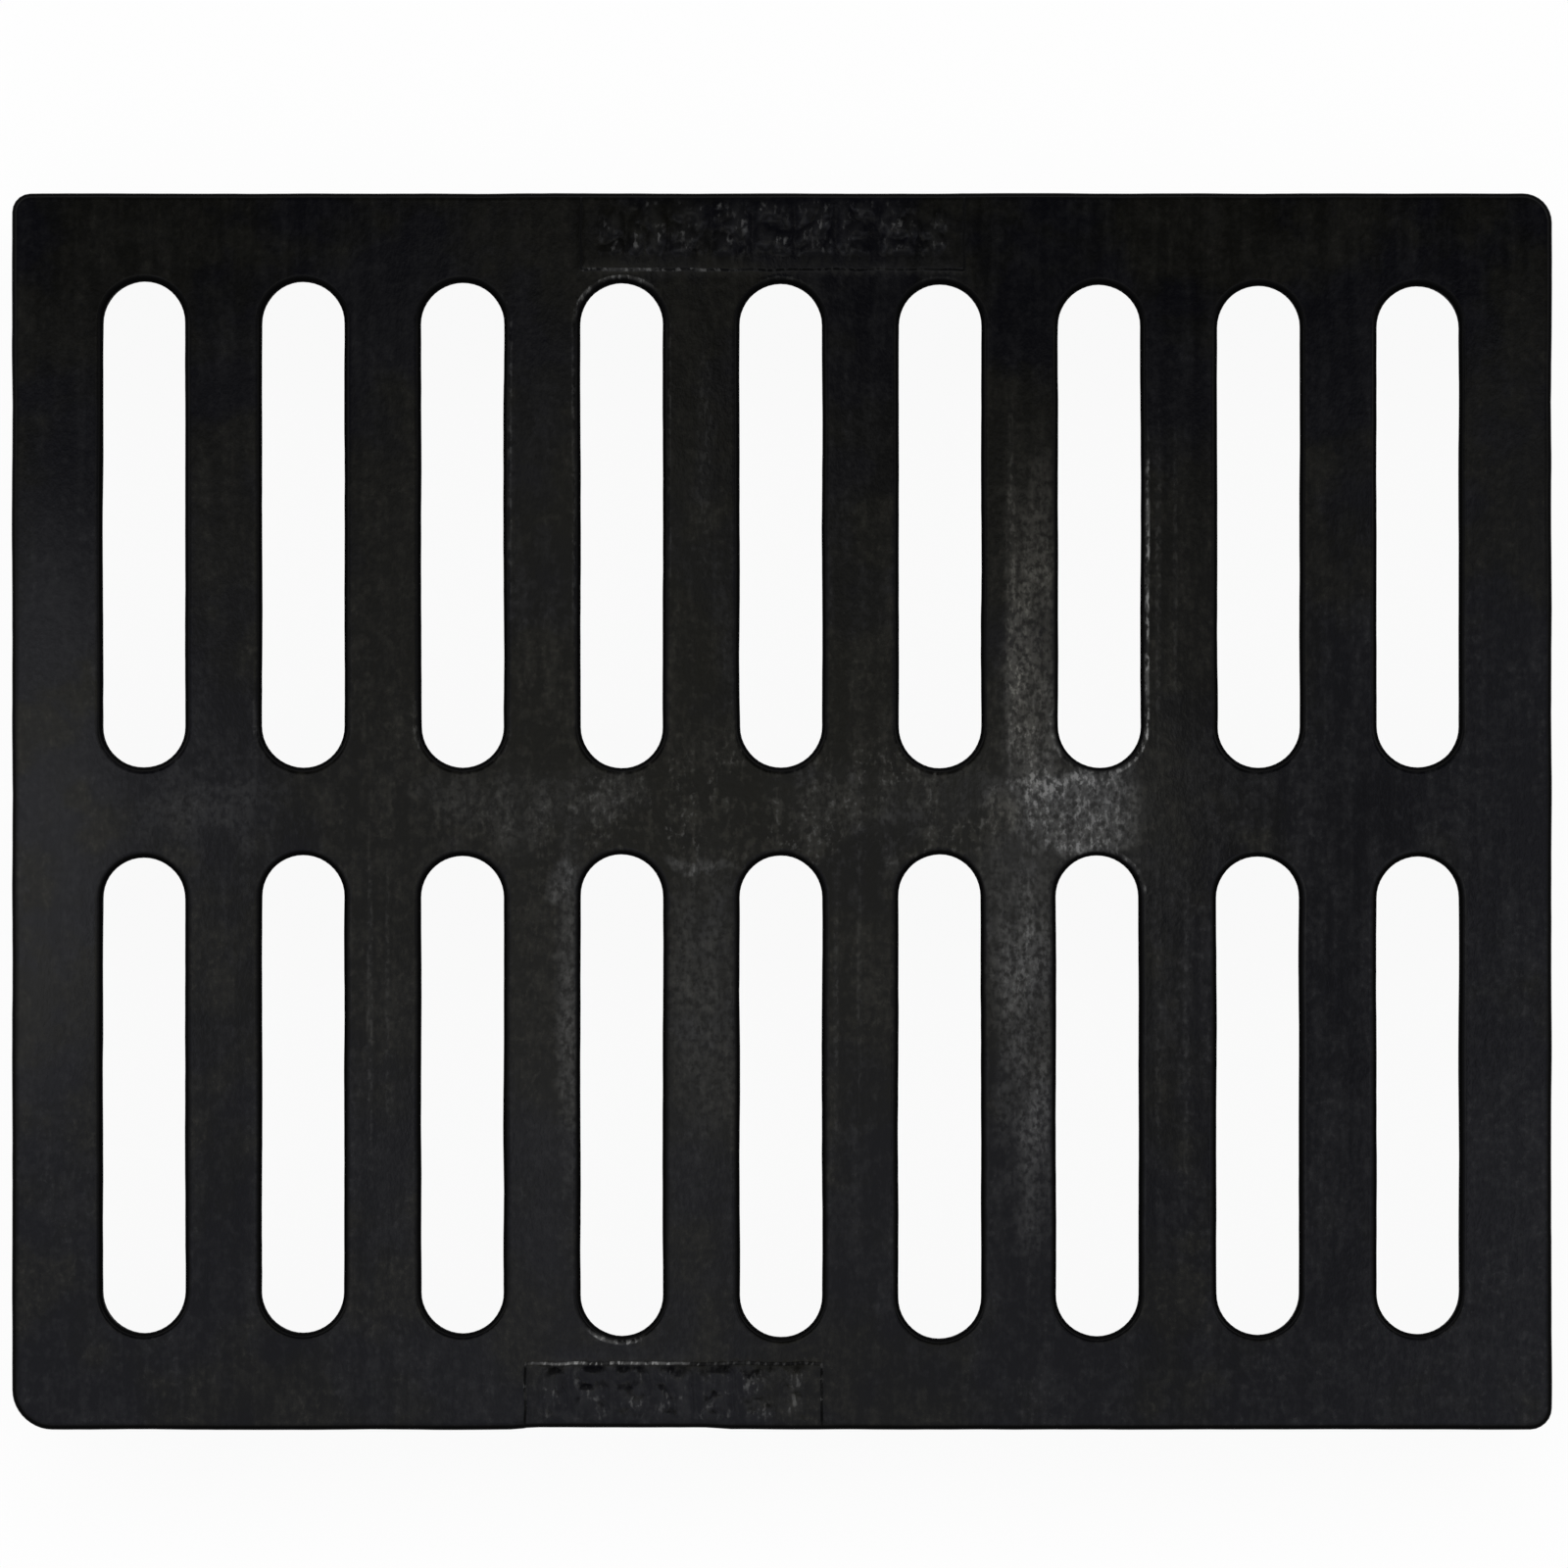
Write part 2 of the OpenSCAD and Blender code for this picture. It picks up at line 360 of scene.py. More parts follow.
class Casting:
    def __init__(self):
        self.points = []
        self.faces = []
        self.paintedShade = {}                      # painted shade on the points of the roundings: how dark and matt they are drawn
        self.paintedGlint = {}                      # and painted glints on them, how bright

    def ring(self, stations, offset, height, lift=0.0):
        start = len(self.points)
        for x, y, outX, outY in stations:
            raised = lift * footLift(x, y)
            reach = offset - raised * tan(radians(grate["pocketDraft"]))
            self.points.append((x + outX * reach, y + outY * reach, height + raised))
        return list(range(start, len(self.points)))

    # Marks the first rings of a section in one of the two tables
    def mark(self, table, first, section, amounts):
        count = (len(self.points) - first) // len(section)
        for row, amount in enumerate(amounts):
            for place in range(first + row * count, first + (row + 1) * count):
                table[place] = amount

    # Skins the rings of one section, and gives the first and the last ring
    def skin(self, stations, section):
        rings = [self.ring(stations, *entry) for entry in section]
        for low, high in zip(rings, rings[1:]):
            for i in range(len(low)):
                j = (i + 1) % len(low)
                self.faces.append((low[i], low[j], high[j], high[i]))
        return rings[0], rings[-1]

    # Fills a flat between rings with triangles over loose points and along ridges, where the test
    # says that metal is
    def fill(self, rings, loose, isMetal, height, ridges=()):
        known = [i for ring in rings for i in ring]
        places = [Vector(self.points[i][:2]) for i in known] + [Vector(p) for p in loose]
        edges = []
        for ring in rings:
            start = len(edges)
            edges += [(start + i, start + (i + 1) % len(ring)) for i in range(len(ring))]
        for ridge in ridges:
            edges += [(len(places) + i, len(places) + i + 1) for i in range(len(ridge) - 1)]
            places += [Vector(p) for p in ridge]
        spots, _, triangles, origins, _, _ = delaunay_2d_cdt(places, edges, [], 0, tiny / 10)
        index = []
        for spot, origin in zip(spots, origins):
            if origin and origin[0] < len(known):
                index.append(known[origin[0]])
            else:
                index.append(len(self.points))
                self.points.append((spot.x, spot.y, height(spot.x, spot.y)))
        for corners in triangles:
            middle = sum((spots[i] for i in corners), Vector((0, 0))) / 3
            if isMetal(middle.x, middle.y):
                self.faces.append(tuple(index[i] for i in corners))


# Loose points over a rectangle in staggered rows
def staggered(left, right, low, high, step, isFree):
    points = []
    rowStep = step * 0.87                   # nearly even triangles
    for row in range(int((high - low) / rowStep) + 1):
        y = low + row * rowStep
        for column in range(int((right - left) / step) + 1):
            x = left + (column + 0.5 * (row % 2)) * step
            if isFree(x, y):
                points.append((x, y))
    return points


# Where an edge that should be at x, y has strayed to
def strayed(x, y):
    spot = (x / marks["unevenLength"], y / marks["unevenLength"])
    across, along = [marks["uneven"] * noise.noise(Vector((*spot, seed))) for seed in pour["unevenSeeds"]]
    return x + across, y + along


# And the other way, from where it is to where it should be
def unstrayed(x, y):
    guess = (x, y)
    for _ in range(3):
        bent = strayed(*guess)
        guess = (guess[0] + x - bent[0], guess[1] + y - bent[1])
    return guess


# Outline of a plate, which runs on past the edge of the tread
def platePlan(plate):
    inner = (treadWidth / 2 - plate["width"]) * plate["side"]
    outer = (treadWidth / 2 + marks["pastEdge"]) * plate["side"]
    return Plan(plate["middle"] - plate["length"] / 2, plate["middle"] + plate["length"] / 2,
                min(inner, outer), max(inner, outer), marks["corner"])


plates = [marks["front"], marks["back"]]
platePlans = [platePlan(plate) for plate in plates]


# How far a place is inside the band of its plate; less than 0 is outside
def inBand(x, y):
    plate = marks["back"] if y > 0 else marks["front"]
    fromOutline = treadWidth / 2 - abs(y)
    fromEnd = plate["length"] / 2 - marks["bandEnd"] - abs(x - plate["middle"])
    return min(fromOutline - marks["band"][0], marks["band"][1] - fromOutline, fromEnd)


# Height of the lumps, as a share from 0 to 1
def lump(x, y):
    inside = inBand(x, y)
    if inside <= 0:
        return 0.0
    wide, long = marks["lumpSize"]
    fine, strong = marks["lumpTwist"]
    spot = Vector((x / wide, y / long, pour["lumpSeed"]))
    spot += strong * noise.noise_vector(fine * spot)
    middle = (marks["back"] if y > 0 else marks["front"])["middle"]
    block = smooth(cos(2 * pi * (x - middle) / marks["blockPitch"]), *marks["blockEdge"])
    fade = smooth(inside, 0, marks["bandFade"])
    return smooth(noise.noise(spot), *marks["lumpEdge"]) * fade * block


# Relief of the tread: raised plates with worn lumps on them
def relief(x, y):
    x, y = unstrayed(x, y)
    inside = max(-plan.gap(x, y) for plan in platePlans)
    if inside <= 0:
        return 0.0
    return marks["rise"] * smooth(inside, 0, marks["bevel"]) + marks["lumpRise"] * lump(x, y)


# How near a place is to the middle of a plate's bevel, from 0 to 1
def bevelLine(x, y):
    part = min(max(max(-plan.gap(x, y) for plan in platePlans) / marks["bevel"], 0), 1)
    return min(marks["creaseWidth"] * part * (1 - part), 1)


# Painted shade on the side of a lump that faces the back, or the front on the back plate
def lumpSide(x, y):
    fall = lump(x, y - marks["sideReach"]) - lump(x, y + marks["sideReach"])
    paintedShade = marks["backSlopeShade"] * smooth(fall, *marks["backSlope"])
    return paintedShade + marks["frontSlopeShade"] * smooth(-fall, *marks["frontSlope"]) if y > 0 else paintedShade


# How bright the painted glints are at a place
def glintAt(x, y):
    wear = 0
    for glint in glints:
        (middleX, middleY), (wide, long) = glint["at"], glint["size"]
        far = ((x - middleX) / wide) ** 2 + ((y - middleY) / long) ** 2
        wear += glint["level"] * (1 - smooth(far, *softEdge))
    return wear


# Runs of stations that are free, each in one go from end to end
def freeRuns(stations, isFree):
    free = [isFree(x, y) for x, y in stations]
    if all(free):
        return [stations + stations[:1]]
    start = free.index(False)
    runs, run = [], []
    for i in range(len(stations)):
        place = (start + i) % len(stations)
        if free[place]:
            run.append(stations[place])
        elif run:
            runs.append(run)
            run = []
    return [run for run in runs + [run] if len(run) > 1]


def castGrate():
    body = Casting()
    columnPitch = (treadLength - 2 * grate["sideMargin"] - grate["slotWidth"]) / (grate["columns"] - 1)
    rim, edge, lip = grate["rimRound"], grate["flatEdge"], grate["lipRound"]
    slotSlope = tan(radians(grate["slotDraft"]))
    wallSlope = tan(radians(grate["pocketDraft"]))
    skirtSlope = tan(radians(grate["skirtDraft"]))

    # Outside of the skirt
    outline = Plan(-treadLength / 2, treadLength / 2, -treadWidth / 2, treadWidth / 2, grate["corners"])
    stops = [(plate["middle"] + sign * (plate["length"] / 2 - inset), plate["side"])
             for plate in plates for sign in (-1, 1)
             for inset in (0, marks["bevel"] / 2, marks["bevel"])]
    rimArc = arc(-rim, treadTop - rim, rim, 90, -grate["skirtDraft"], grate["rimParts"])
    footReach = rimArc[-1][0] - rimArc[-1][1] * skirtSlope
    foot = grate["footRound"]
    wall = [(footReach + z * skirtSlope, z) for z in grate["skirtRings"]]
    section = ([(-rim - edge, treadTop)] + rimArc + wall
               + arc(footReach - foot, foot, foot, 0, -90, grate["footParts"])
               + [(footReach - foot - edge, 0)])
    treadRing, footRing = body.skin(outline.stations(grate["straightStep"], grate["turnStep"], stops),
                                    section)
    # Painted shade on the outline's rounding
    body.mark(body.paintedShade, treadRing[0], section, grate["rimShade"])
    treadRings, footRings, slots, pockets = [treadRing], [footRing], [], []

    # Slots and the pockets below them
    for i in range(grate["columns"]):
        x = (i - (grate["columns"] - 1) / 2) * columnPitch + grate["slotShift"]
        backEnd = (treadWidth / 2 - grate["backMargin"]
                   - grate["backMarginGrowth"] * i / (grate["columns"] - 1))
        half = grate["slotWidth"] / 2
        reach = (columnPitch - grate["webThickness"]) / 2
        left = -pocketEndX if i == 0 else x - reach
        right = pocketEndX if i == grate["columns"] - 1 else x + reach
        for low, high in ((grate["crossbarWidth"] / 2, backEnd),
                          (grate["frontMargin"] - treadWidth / 2, -grate["crossbarWidth"] / 2)):
            flash, isBack = grate["slotFlash"], low > 0
            middle = x - (0 if isBack else grate["frontLean"][i])
            slot = Plan(middle - half + flash, middle + half - flash,
                        low + flash + (0 if isBack else grate["frontShort"][i]),
                        high - (grate["backShort"] if isBack else grate["middleShort"][i]), half - flash)
            rimArc = arc(rim, treadTop - rim, rim, 90, 180 + grate["slotDraft"], grate["rimParts"])
            lipReach = rimArc[-1][0] + (rimArc[-1][1] - ceiling - lip) * slotSlope
            below = grate["wallRing"]
            section = ([(rim + edge + grate["glintStrip"], treadTop), (rim + edge, treadTop)] + rimArc
                       + [(rimArc[-1][0] + below * slotSlope, rimArc[-1][1] - below)]
                       + arc(lipReach + lip, ceiling + lip, lip, 180, 270, grate["lipParts"]))
            top, bottom = body.skin(slot.stations(grate["slotStep"], grate["turnStep"]), section)
            treadRings.append(top)
            slots.append(slot)
            # Painted shade and painted glints on the slot's first rings
            deeper = [1.0] * (len(section) - len(grate["slotShade"]))
            body.mark(body.paintedShade, top[0], section, [*grate["slotShade"], *deeper])
            body.mark(body.paintedGlint, top[0], section, grate["slotGlint"])
            # The painted shade is deeper at the slots' back ends
            for place in range(top[0] + 2 * len(top), top[0] + 4 * len(top)):
                atBack = smooth(body.points[place][1],
                                *[treadWidth / 2 - far for far in grate["backShadeFrom"]])
                body.paintedShade[place] += (1 - body.paintedShade[place]) * grate["backShade"] * atBack

            side = 1 if isBack else -1
            near, far = side * grate["crossWebThickness"] / 2, side * pocketEndY
            pocket = Plan(left, right, min(near, far), max(near, far), grate["pocketCorner"])
            fillet = grate["rootFillet"]
            filletZ = ceiling - fillet
            filletX = -filletZ * wallSlope - fillet / cos(radians(grate["pocketDraft"]))
            footArc = arc(foot - foot * wallSlope, foot, foot, 180 + grate["pocketDraft"], 270,
                          grate["footParts"])
            section = (arc(filletX, filletZ, fillet, 90, grate["pocketDraft"], grate["filletParts"])
                       + [(-z * wallSlope, z, lift) for z, lift in grate["pocketRings"]]
                       + [(reach, z, 1.0) for reach, z in footArc])
            roof, base = body.skin(pocket.stations(grate["straightStep"], grate["turnStep"]), section)
            footRings.append(base)
            pockets.append(pocket)
            lipEdge, roofEdge = lipReach + lip, filletX
            body.fill([roof, bottom], [],
                      lambda px, py: pocket.gap(px, py) < roofEdge and slot.gap(px, py) > lipEdge,
                      lambda px, py: ceiling)

    # The open tread
    margin, slotMargin = rim + edge, rim + edge + grate["glintStrip"]
    step = grate["fieldStep"]
    clear = step * grate["fieldClear"]
    bevelMiddle, bevelReach = marks["bevelClear"]
    outlineClear, slotClear = grate["ridgeClear"]

    def isOpen(x, y):
        if outline.gap(x, y) > -margin - clear or min(s.gap(x, y) for s in slots) < slotMargin + clear:
            return False
        x, y = unstrayed(x, y)
        fromBevel = min(abs(plan.gap(x, y) - bevelMiddle) for plan in platePlans)
        return fromBevel > bevelReach and inBand(x, y) < marks["bandOverlap"]

    def isFreeRidge(x, y):
        return (outline.gap(x, y) < -margin - outlineClear
                and min(s.gap(x, y) for s in slots) > slotMargin + slotClear)

    loose = staggered(-treadLength / 2, treadLength / 2, -treadWidth / 2, treadWidth / 2, step, isOpen)
    ridges = []
    for plan in platePlans:
        for part in marks["bevelRidges"]:
            left, right, low, high = plan.box
            inset = marks["bevel"] * part
            row = Plan(left + inset, right - inset, low + inset, high - inset,
                       max(plan.corners[0] - inset, marks["leastCorner"]))
            stations = [strayed(x, y) for x, y, _, _ in row.stations(*marks["ridgeStep"])]
            ridges += freeRuns(stations, isFreeRidge)
    for plate in plates:
        inner, outer = [plate["side"] * (treadWidth / 2 - far) for far in reversed(marks["band"])]
        reach = plate["length"] / 2 - marks["bandEnd"]
        loose += staggered(plate["middle"] - reach, plate["middle"] + reach, min(inner, outer),
                           max(inner, outer), marks["lumpStep"], isFreeRidge)
    body.fill(treadRings, loose,
              lambda x, y: outline.gap(x, y) < -margin and min(s.gap(x, y) for s in slots) > slotMargin,
              lambda x, y: treadTop, ridges)

    # The seat and the feet of the webs
    inFoot = footReach - foot - edge
    pocketFoot = foot - foot * wallSlope
    skirtClear, pocketClear = grate["seatClear"]

    def isFoot(x, y):
        edgeGap = pocketFoot - footLift(x, y) * wallSlope - grate["footSlack"]
        return outline.gap(x, y) < inFoot and min(p.gap(x, y) for p in pockets) > edgeGap

    def isFreeFoot(x, y):
        return (outline.gap(x, y) < inFoot - skirtClear
                and min(p.gap(x, y) for p in pockets) > pocketFoot + pocketClear)

    loose = staggered(-treadLength / 2, treadLength / 2, -treadWidth / 2, treadWidth / 2,
                      grate["seatStep"], isFreeFoot)
    body.fill(footRings, loose, isFoot, footLift)
    return body


def stray(x, y, z, length, seed):
    return noise.noise(Vector((x / length + seed, y / length - seed, z / length + 2 * seed)))


# Edges that wander, a tread that isn't quite flat, and the relief on it
def unevenPour(points):
    wander, burr, dent = pour["wander"], pour["burr"], pour["dent"]
    slack = 2 * (wander + burr)             # the edges stray within the true outline
    result = []
    for x, y, z in points:
        up = min(max((z - pour["topFrom"]) / (treadTop - pour["topFrom"]), 0), 1)
        z += relief(x, y) * up
        shiftX, shiftY = [wander * stray(x, y, z, pour["wanderLength"], wanderSeed)
                          + burr * stray(x, y, z, pour["burrLength"], burrSeed)
                          for wanderSeed, burrSeed in zip(pour["wanderSeeds"], pour["burrSeeds"])]
        hollow = (smooth(x, dent["from"], dent["from"] + dent["ramp"])
                  * (1 - smooth(x, dent["to"] - dent["ramp"], dent["to"]))
                  * smooth(z, *dent["heights"]))
        shiftY += dent["depth"] * hollow * smooth(-y, treadWidth / 2 - dent["reach"], treadWidth / 2)
        dip = pour["sink"] * (0.5 + 0.5 * stray(x, y, 0, pour["sinkLength"], pour["sinkSeed"]))
        offSeat = smooth(z, *pour["seatTo"]) * (1 - up)
        wave = pour["wallWave"] * stray(x, y, z, pour["wallWaveLength"], pour["wallWaveSeed"])
        result.append((x * (1 - slack / treadLength) + shiftX, y * (1 - slack / treadWidth) + shiftY,
                       z - dip * up + wave * offSeat))
    return result


body = castGrate()
points = unevenPour(body.points)
mesh = bpy.data.meshes.new("cast_grate")
mesh.from_pydata([[c * metresPerMm for c in point] for point in points], [], body.faces)
build = bmesh.new()
build.from_mesh(mesh)
bmesh.ops.recalc_face_normals(build, faces=build.faces)
openEdges = sum(1 for edge in build.edges if not edge.is_manifold)
build.to_mesh(mesh)
build.free()
mesh.shade_smooth()

# Painted shade, painted glints and pale lump tops at each point, for the material
lumpy = {}
for place, (x, y, z) in enumerate(body.points):
    if z > treadTop - tiny and abs(y) > treadWidth / 2 - marks["back"]["width"] - marks["coatReach"]:
        spot = unstrayed(x, y)
        line = bevelLine(*spot)
        lumpy[place] = lump(*spot)
        body.paintedGlint[place] = max(body.paintedGlint.get(place, 0), line)
        body.paintedShade[place] = max(body.paintedShade.get(place, 0), marks["creaseShade"] * max(line, lumpSide(*spot)))
body.paintedGlint = {place: amount * glintAt(*body.points[place][:2]) for place, amount in body.paintedGlint.items()}
for name, table in (("painted_shade", body.paintedShade), ("painted_glint", body.paintedGlint), ("worn_and_lit_top", lumpy)):
    layer = mesh.attributes.new(name, "FLOAT", "POINT")
    for place, amount in table.items():
        layer.data[place].value = amount
castPiece = bpy.data.objects.new("cast_grate", mesh)
bpy.context.scene.collection.objects.link(castPiece)
keepFlat = castPiece.modifiers.new("flat faces", "WEIGHTED_NORMAL")
keepFlat.weight = 60                        # of 100: flat faces keep their own direction
triangles = sum(len(face.vertices) - 2 for face in mesh.polygons)
print("grate:", len(mesh.vertices), "vertices,", triangles, "triangles,", openEdges, "open edges")


# Black dip coat over a sand-cast skin
coat = {
    "black": (0.0021, 0.0021, 0.0022),
    "blue": (0.0021, 0.0021, 0.0030),
    "olive": (0.0031, 0.0030, 0.0022),
    "dust": (0.026, 0.026, 0.027),
    "oliveDust": (0.0285, 0.027, 0.0205),
    # Pale colours of the painted highlights, and of rub marks, scratches and specks
    "highlightAndWearPale": (0.155, 0.155, 0.153),
    "warmHighlightAndWearPale": (0.158, 0.153, 0.134),
    # Pale colour of the painted glints along the edges
    "bare": (0.27, 0.27, 0.266),
    # Near-black colour of the painted shade on roundings, slot walls, bevels and lump sides
    "edge": (0.0017, 0.0017, 0.0018),
    "roughness": 0.11,
    "cloudRoughness": 0.1,                  # what clouds, streaks, painted highlights and rub marks add to it
    "streakRoughness": 0.08,
    "highlightAndRubRoughness": 0.3,
    "ior": 1.33,
    # The painted shade's finish: matt, and with its low IOR it barely reflects
    "paintedShadeRoughness": 0.6,
    "paintedShadeIor": 1.08,
    "swellDepth": 0.016,
    "grainDepth": 0.012,
    "wallLean": 0.7,                        # how far the patterns shift with each millimetre of height
    "treadFrom": (-2.0, -1.0),              # heights over the tread between which its painted highlights and rub marks fade in
    "drift": (6, 30),                       # how far blotches and clouds bend the painted highlights and sheen, across and along
    "front": (-20, 170),                    # dust fades between these places along the slots
}

# Noise patterns: the size of their grains in millimetres, and where and how they are drawn
patterns = {
    "patches": {"size": 70, "detail": 2},
    "cloud": {"size": 26, "detail": 3, "rough": 0.6, "start": (3.1, 1.7)},
    "swell": {"size": 11, "detail": 2},
    "blotch": {"size": 8, "detail": 3, "rough": 0.6, "start": (0.7, 5.2)},
    "streaks": {"size": 5, "detail": 2, "squeeze": (1.0, 0.09)},
    "pebble": {"size": 3, "detail": 2, "rough": 0.55, "start": (1.3, 0.2)},
    "grit": {"size": 1.5, "detail": 2, "rough": 0.6, "squeeze": (1.0, 0.7)},
    "dashes": {"size": 1.4, "detail": 1, "squeeze": (1.0, 0.3)},
}
evenNoise = 0.5                             # what a pattern gives on average

# Masks: shares of the patterns that they add up, and where they begin and are full on the sum
masks = {
    "blotches": {"of": {"blotch": 1.0}, "edge": (0.36, 0.66)},
    "streaking": {"of": {"streaks": 1.0}, "edge": (0.36, 0.62)},
    "lowBlotches": {"of": {"blotch": 1.0}, "edge": (0.4, 0.62)},
    "highBlotches": {"of": {"blotch": 1.0}, "edge": (0.48, 0.6)},
    "grains": {"of": {"grit": 0.5, "pebble": 0.5}, "edge": (0.34, 0.6)},
    "tops": {"of": {"dashes": 0.45, "grit": 0.55}, "edge": (0.5, 0.62)},
    "specks": {"of": {"grit": 0.6, "pebble": 0.4}, "edge": (0.56, 0.65)},
    "speckGround": {"of": {"streaks": 0.4, "cloud": 0.6}, "edge": (0.47, 0.58)},
}

# Levels of painted highlights, painted glints, wear and dust; in brackets, what holds everywhere and then
# what each mask adds to it
levels = {
    "paintedHighlight": (0.62, 0.3, 0.45),             # with blotches and streaks
    "highlightAndRub": (0.10, 0.34),                 # with grains
    "highlightTops": 0.5,                      # on their tops, where a painted highlight is strong
    "paleLine": (0.2, 0.8),                  # with tops
    "specks": 0.18,
    "lumps": (0.03, 0.3),                   # with tops in blotches
    "bareEdge": (0.05, 0.3, 0.7),           # with blotches and tops
    "dust": 0.22,
    "mottle": (1.0, 0.4, 1.3),              # over the middle of the tread and on rough skin
    "mostDust": 1.2,
    "dustDepth": (0.30, 0.36),              # towards the front
    "dustShare": 0.55,
    "speckDust": 0.2,
    "speckDepth": (0.25, 0.75),             # towards the front
}
mottleShares = {"blotch": 1.2, "pebble": 1.2, "streaks": 1.1, "cloud": 0.9, "grit": 0.8, "dashes": 0.6}

# Slow changes of the black, from olive to blue
tint = {
    "of": {"patches": 0.6, "cloud": 0.4},
    "towardsOlive": 0.08,                   # over the middle of the tread
    "awayFromBlue": 0.12,
    "oliveEdge": (0.49, 0.56),
    "oliveMost": 0.8,
    "blueEdge": (0.5, 0.56),
}

# Places on the tread, in millimetres, where a highlight and sheen are painted: the tops of the grains are
# drawn pale there
paintedHighlights = [
    {"at": (95, 0), "size": (20, 16), "level": 0.64},
    {"at": (84, 11), "size": (9, 5), "level": 0.3},
    {"at": (97, 11), "size": (14, 4.5), "level": 0.5},
    {"at": (97, -11), "size": (11, 3.5), "level": 0.45},
    {"at": (72, 4), "size": (8, 6), "level": 0.4},
    {"at": (80, 22), "size": (9, 28), "level": 0.28},
    {"at": (81.5, 50), "size": (9.5, 40), "level": 0.36},
    {"at": (81.5, 86), "size": (9, 28), "level": 0.2},
    {"at": (76, -32), "size": (13, 30), "level": 0.26},
    {"at": (79, -72), "size": (10, 48), "level": 0.30},
    {"at": (82, -112), "size": (7, 34), "level": 0.16},
    {"at": (30, 3), "size": (32, 13), "level": 0.10},
    {"at": (-62, 5), "size": (17, 8), "level": 0.18},
    {"at": (-85, 0), "size": (9, 13), "level": 0.14},
    {"at": (-106, 6), "size": (14, 6), "level": 0.12},
    {"at": (-185, 0), "size": (24, 11), "level": 0.12},
    {"at": (-68, -60), "size": (5, 54), "level": 0.29},
    {"at": (-25, -60), "size": (12, 46), "level": 0.18},
    {"at": (-27, -19), "size": (12, 3), "level": 0.3},
    {"at": (-71, -21), "size": (5, 5), "level": 0.35},
]

# Straight pale lines along the bars: scratches, and on bar 6 at x 74 a painted highlight line
paleLines = [
    {"at": (-133, -65), "size": (1.0, 52), "level": 0.10},
    {"at": (-127.3, -60), "size": (0.8, 44), "level": 0.07},
    {"at": (17.5, -62), "size": (0.9, 40), "level": 0.09},
    {"at": (25, -58), "size": (0.9, 36), "level": 0.07},
    {"at": (74, 62), "size": (1.6, 60), "level": 0.16},
    {"at": (121.5, 72), "size": (1.0, 56), "level": 0.07},
    {"at": (127, 75), "size": (0.8, 50), "level": 0.05},
    {"at": (121.5, -70), "size": (1.2, 60), "level": 0.06},
    {"at": (130.5, -75), "size": (1.0, 55), "level": 0.06},
    {"at": (-25, 115), "size": (2.6, 36), "level": 0.06},
]

# Places where a sheen is painted as a pale film with a definite edge
paintedSheens = [{"at": (-246, 2), "size": (33, 92), "level": 0.5}]

# Where the painted highlights are warm, where grains show most, and the middle and the right of the tread
# for its tint
warmHighlights = [
    {"at": (80, 75), "size": (14, 60), "level": 1.0},
    {"at": (71, 0), "size": (6, 7), "level": 0.8},
]
roughSkin = [{"at": (10, 0), "size": (100, 20), "level": 1.0}]
treadMiddle = [{"at": (0, 25), "size": (175, 130), "level": 1.0}]
blueSide = [{"at": (205, -50), "size": (80, 140), "level": 0.14}]


